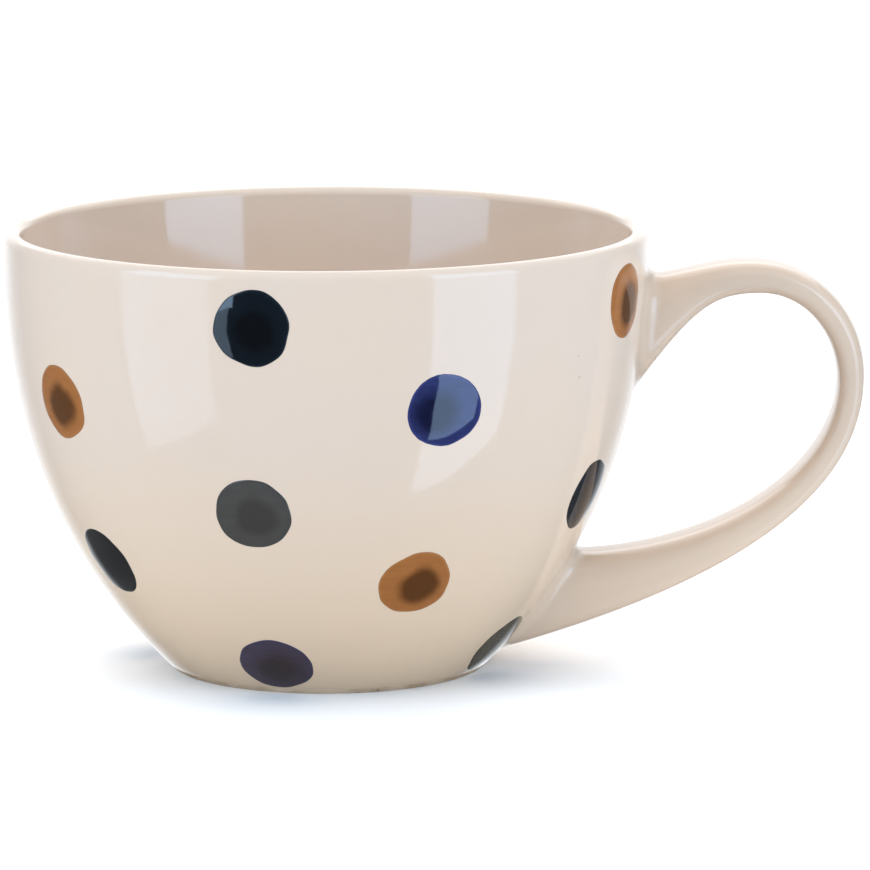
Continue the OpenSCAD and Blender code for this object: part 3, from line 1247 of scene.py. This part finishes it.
def ring_solid(name: str, rings: np.ndarray, finish: bpy.types.Material) -> bpy.types.Object:
    """Makes a closed ring from its sections, smooth but for the section's last corner.

    Args:
        name: Name of the object.
        rings: Sections by points by three. The last point of each section is the hidden one.
        finish: Its material.

    Returns:
        Object at the origin.
    """
    count, size = rings.shape[:2]
    faces = []
    for k in range(count):
        a, b = k * size, (k + 1) % count * size
        faces.extend((a + i, b + i, b + (i + 1) % size, a + (i + 1) % size) for i in range(size))
    mesh = bpy.data.meshes.new(name)
    mesh.from_pydata([tuple(p) for p in rings.reshape(-1, 3)], [], faces)
    face_outwards(mesh)
    mesh.polygons.foreach_set("use_smooth", [True] * len(mesh.polygons))
    sharp_rows = {0, size - 2, size - 1}
    for edge in mesh.edges:
        rows = {v % size for v in edge.vertices}
        edge.use_edge_sharp = len(rows) == 1 and rows <= sharp_rows
    mesh.materials.append(finish)
    return added(name, mesh)


@dataclass
class Dabs:
    """Dots of coloured glaze, each a low dome that follows the side of the bowl."""

    bowl: Bowl
    radius: float = 6.5 * MM
    height: float = 0.36 * MM
    sunk: float = 0.12 * MM
    dome_power: float = 2.6
    wobble: float = 0.13
    seed_start: float = 0.3
    seed_step: float = 1.7
    sectors: int = 96
    rows: int = 40
    MAP: ClassVar[str] = "dab"
    CONTROLS: ClassVar[tuple[str, ...]] = ("Foot", "Foot pull", "Lip pull", "Lip")
    # Share of the rows on the top, and the steepness of the underside towards the edge
    TOP_SHARE: ClassVar[float] = 0.8
    BELLY_POWER: ClassVar[float] = 4.0

    @staticmethod
    def dab_tree() -> bpy.types.NodeTree:
        """Tree that lays a domed dab on a side given by four control points.

        The dab is a closed skin: its rows run from the middle of the top out to the edge, and
        back under it to the middle. Its map holds the place on it, with the edge at one.

        Returns:
            Geometry Nodes tree.
        """
        g = GeometryBuilder("dab_on_side")
        foot, foot_pull, lip_pull, lip = (g.input(name, "Vector") for name in Dabs.CONTROLS)
        up_side, turn = g.input("Length up the side", "Float"), g.input("Turn", "Float")
        names = ("Radius", "Height", "Sunk", "Dome power", "Wobble", "Seed")
        size, height, sunk, power, wobble, seed = (g.input(name, "Float") for name in names)
        sectors, rows = g.input("Sectors", "Int"), g.input("Rows", "Int")
        finish = g.input("Finish", "Material")
        controls = {
            "Start": foot,
            "Start Handle": foot_pull,
            "End Handle": lip_pull,
            "End": lip,
            "Resolution": 256,
        }
        side = g.use("GeometryNodeCurvePrimitiveBezierSegment", controls, "Curve")

        mesh, column, row = g.grid(sectors, rows)
        angle = column / sectors * math.tau
        ways = g.vector(g.maths("COSINE", angle), g.maths("SINE", angle), 0.0)
        # Out from the middle over the top, then quickly back underneath
        place = row / rows
        under = g.maths("MAXIMUM", place - Dabs.TOP_SHARE, 0.0)
        out = g.maths("MINIMUM", place / Dabs.TOP_SHARE, 1.0) - under / (1 - Dabs.TOP_SHARE)
        outline = 1 + (g.noise(ways, 0.9, 1.0, seed) - 0.5) * wobble * 2
        x, y, _ = g.split(ways * (size * out * outline))
        at_length = {"Curves": side, "Length": up_side + y}
        sample = g.node("GeometryNodeSampleCurve", at_length, mode="LENGTH", use_all_curves=True)
        on_side, tangent = Wire(g, sample.outputs["Position"]), Wire(g, sample.outputs["Tangent"])
        radius, _, z = g.split(on_side)
        rise_r, _, rise_z = g.split(tangent)
        top = g.maths("COMPARE", under, 0.0, 0.001)
        dome = (1 - out**power) * height
        lift = dome * top - (1 - top) * sunk * (1 - out**Dabs.BELLY_POWER)
        round_r, round_z = radius + rise_z * lift, z - rise_r * lift
        at = turn + x / radius
        position = g.vector(g.maths("COSINE", at) * round_r, g.maths("SINE", at) * round_r, round_z)
        mesh = g.marked(mesh, Dabs.MAP, ways * out, "FLOAT2", "CORNER")
        return g.finish(g.moved(mesh, position), finish)

    def place_of(self, node: str) -> tuple[float, float]:
        """Finds where a CAD dot sits.

        Args:
            node: Name of its node.

        Returns:
            Length up the side and turn about Z of its middle.
        """
        points = coordinates(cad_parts[node].data)
        middle = (points.max(axis=0) + points.min(axis=0)) / 2
        reference = math.atan2(middle[1], middle[0])
        turns = (np.arctan2(points[:, 1], points[:, 0]) - reference + math.pi) % math.tau - math.pi
        side, length = self.bowl.walked_side()
        ups = np.interp(points[:, 2], side[:, 1], length)
        return float(ups.max() + ups.min()) / 2, reference + float(turns.max() + turns.min()) / 2

    def build(self) -> None:
        """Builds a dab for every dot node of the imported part."""
        glazes = {colour.name.lower(): colour.value.build() for colour in DabColour}
        tree = self.dab_tree()
        places = [(float(r), 0.0, float(z)) for r, z in self.bowl.side_points]
        dots = sorted(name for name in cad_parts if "_dot_" in name)
        for number, node in enumerate(dots):
            colour = node.split("_dot_")[0]
            up_side, turn = self.place_of(node)
            inputs = {
                **dict(zip(self.CONTROLS, places)),
                "Length up the side": up_side,
                "Turn": turn,
                "Radius": self.radius,
                "Height": self.height,
                "Sunk": self.sunk,
                "Dome power": self.dome_power,
                "Wobble": self.wobble,
                "Seed": self.seed_step * number + self.seed_start,
                "Sectors": self.sectors,
                "Rows": self.rows,
                "Finish": glazes[colour],
            }
            settle(grown("dab_" + node, tree, inputs), colour + "_glaze", node)


# ---------------------------------------------------------------- studio


@dataclass(frozen=True)
class Softbox:
    """Rectangular studio light with an evenly bright face, seen in mirror reflections or not."""

    name: str
    middle: Point
    aim: Point
    width: float
    height: float
    radiance: float
    colour: Colour = (1.0, 1.0, 1.0)
    mirrored: bool = True

    @classmethod
    def standing(
        cls,
        name: str,
        near: tuple[float, float],
        far: tuple[float, float],
        low: float,
        high: float,
        radiance: float,
        colour: Colour,
    ) -> "Softbox":
        """Makes an upright box between two places on the studio's plan, that faces the mug.

        Args:
            name: Name of the light.
            near: X and Y of one upright edge.
            far: X and Y of the other.
            low: Height of its lower edge over the table.
            high: Height of its upper edge.
            radiance: Brightness of its face.
            colour: Colour of its light.

        Returns:
            The box.
        """
        along = Vector(far) - Vector(near)
        x, y = (Vector(far) + Vector(near)) / 2
        facing = Vector((along.y, -along.x)).normalized()
        if facing.dot(Vector((x, y))) > 0:
            facing.negate()
        z = (low + high) / 2
        aim = (x + facing.x, y + facing.y, z)
        return cls(name, (x, y, z), aim, along.length, high - low, radiance, colour)

    def build(self) -> None:
        """Adds the light."""
        data = bpy.data.lights.new(self.name, "AREA")
        data.shape = "RECTANGLE"
        data.size, data.size_y = self.width, self.height
        data.color = self.colour
        # A flat light sends out pi watts for each unit of radiance and square metre
        data.energy = self.radiance * math.pi * self.width * self.height
        light = added(self.name, data)
        away = Vector(self.middle) - Vector(self.aim)
        turn = away.to_track_quat("Z", "Y").to_matrix().to_4x4()
        light.matrix_world = Matrix.Translation(self.middle) @ turn
        light.visible_camera = False
        light.visible_glossy = self.mirrored


@dataclass(frozen=True)
class Camera:
    """Long-lens camera a metre away, looking a little down at the mug."""

    target: Point = (0.01886, 0.0, 0.0402)
    distance: float = 1.0
    elevation: float = 9.856
    roll: float = -0.101
    lens: float = 236.68
    sensor: float = 36.0

    def build(self) -> None:
        """Adds the camera and makes it the scene's."""
        data = bpy.data.cameras.new("camera")
        data.lens, data.sensor_width = self.lens, self.sensor
        data.clip_start, data.clip_end = 0.05, 50.0
        camera = added("camera", data)
        turn = Euler((math.radians(90 - self.elevation), 0.0, 0.0)).to_matrix().to_4x4()
        rolled = turn @ Matrix.Rotation(math.radians(self.roll), 4, "Z")
        back = turn @ Vector((0.0, 0.0, self.distance))
        camera.matrix_world = Matrix.Translation(Vector(self.target) + back) @ rolled
        bpy.context.scene.camera = camera


@dataclass(frozen=True)
class Studio:
    """Pale floor, soft lights, a room that only the glaze reflects, and the camera.

    Each front box goes on below the split, under the table's top, as a dimmer skirt, which is
    what the outside of the bowl mirrors. The floor glows faintly and stays out of mirror
    reflections, and so do the top and back boxes. The room is dark behind the camera and bright
    behind the mug.
    """

    # Height where the front boxes end and their skirts begin, and the edges that both share
    SPLIT: ClassVar[float] = 0.05
    LEFT_FAR: ClassVar[tuple[float, float]] = (-0.336, -0.122)
    RIGHT_NEAR: ClassVar[tuple[float, float]] = (0.226, -0.309)
    RIGHT_FAR: ClassVar[tuple[float, float]] = (0.6, -0.235)
    COOL: ClassVar[Colour] = (0.68, 1.0, 1.38)

    floor_size: float = 14.0
    floor_colour: Colour = (0.93, 0.93, 0.93)
    floor_glow: float = 0.08
    floor_mottle: float = 0.985
    room_radius: float = 6.0
    room_dark: float = 0.02
    room_side: float = 0.14
    room_back: float = 1.2
    room_top: float = 0.3
    room_tint: Colour = (0.92, 0.96, 1.0)
    sky: float = 0.58
    boxes: tuple[Softbox, ...] = (
        Softbox.standing("softbox_left", (-0.24, -0.34), LEFT_FAR, SPLIT, 0.34, 2.7, COOL),
        Softbox.standing("skirt_left", (-0.254, -0.321), LEFT_FAR, -0.14, SPLIT, 1.1, (0.75, 1.0, 1.3)),
        Softbox.standing("softbox_right", RIGHT_NEAR, RIGHT_FAR, SPLIT, 0.36, 3.2, COOL),
        Softbox.standing("skirt_right", RIGHT_NEAR, RIGHT_FAR, -0.28, SPLIT, 1.8, (0.7, 1.0, 1.4)),
        Softbox("softbox_top", (0.0, -0.1, 0.9), (0.0, 0.0, 0.0), 1.0, 0.8, 2.3, mirrored=False),
        Softbox("softbox_back", (0.0, 0.75, 0.55), (0.0, 0.0, 0.0), 1.4, 0.5, 2.6, mirrored=False),
        Softbox("softbox_far", (0.0, 3.4, 1.8), (0.0, 3.4, 0.0), 4.0, 4.4, 0.9),
    )

    def build(self) -> None:
        """Adds the floor, the room, the lights, the even white surroundings and the camera."""
        self.build_floor()
        self.build_room()
        for box in self.boxes:
            box.build()
        world = bpy.data.worlds.new("surroundings")
        world.use_nodes = True
        background = world.node_tree.nodes["Background"]
        background.inputs["Color"].default_value = (1.0, 1.0, 1.0, 1.0)
        background.inputs["Strength"].default_value = self.sky
        scene = bpy.context.scene
        scene.world = world
        scene.view_settings.view_transform = "Standard"
        Camera().build()

    def build_floor(self) -> None:
        """Adds the floor with a finely mottled matt finish and a faint glow."""
        half = self.floor_size / 2
        mesh = bpy.data.meshes.new("floor")
        corners = [(-half, -half, 0.0), (half, -half, 0.0), (half, half, 0.0), (-half, half, 0.0)]
        mesh.from_pydata(corners, [], [(0, 1, 2, 3)])
        floor = added("floor", mesh)
        settings = {
            "Roughness": 1.0,
            "Specular IOR Level": 0.0,
            "Emission Color": (1.0, 1.0, 1.0, 1.0),
            "Emission Strength": self.floor_glow,
        }
        material, b, shader = new_material("floor", settings)
        darker = tuple(self.floor_mottle * c for c in self.floor_colour)
        mottle = b.noise(b.object_place(), 40.0)
        b.feed(shader.inputs["Base Color"], colour_mix(b, mottle, self.floor_colour, darker))
        mesh.materials.append(material)
        floor.visible_glossy = False

    def build_room(self) -> None:
        """Adds a large glowing ball round the studio, which is there for reflections only."""
        shell = bmesh.new()
        bmesh.ops.create_uvsphere(shell, u_segments=48, v_segments=24, radius=self.room_radius)
        mesh = bpy.data.meshes.new("room")
        shell.to_mesh(mesh)
        shell.free()
        room = added("room", mesh)
        settings = {
            "Base Color": (0.0, 0.0, 0.0, 1.0),
            "Specular IOR Level": 0.0,
            "Emission Color": (*self.room_tint, 1.0),
        }
        material, b, shader = new_material("room", settings)
        _, back, up = b.split(b.unit(b.object_place()))
        sides = b.ease(back, -0.3, 0.6, self.room_dark, self.room_side)
        behind = b.ease(back, 0.72, 0.98, 0.0, self.room_back)
        overhead = b.ease(up, 0.5, 0.9, 0.0, self.room_top)
        b.feed(shader.inputs["Emission Strength"], sides + behind + overhead)
        mesh.materials.append(material)
        room.visible_camera = room.visible_diffuse = False
        room.visible_shadow = room.visible_transmission = False


def main() -> None:
    """Builds the mug and its studio."""
    logging.basicConfig(level=logging.INFO, format="%(name)s: %(message)s")
    cream, clay = CreamGlaze().build(), BareClay().build()
    bowl = Bowl.from_frame()
    bowl.build(cream, clay)
    # The handle's copy of the cream glaze is darker, as painted shade, and turns lighter low down, as
    # painted light
    painted_shade_on_handle = CreamGlaze(
        name="fired_cream_glaze_on_handle",
        cream=(0.495, 0.383, 0.296),
        painted_low_light_and_cloud=(0.64, 0.498, 0.378),
        thin=(0.56, 0.48, 0.41),
    )
    Handle.from_frame(bowl).build(painted_shade_on_handle.build())
    Dabs(bowl).build()
    Studio().build()


if __name__ == "__main__":
    main()
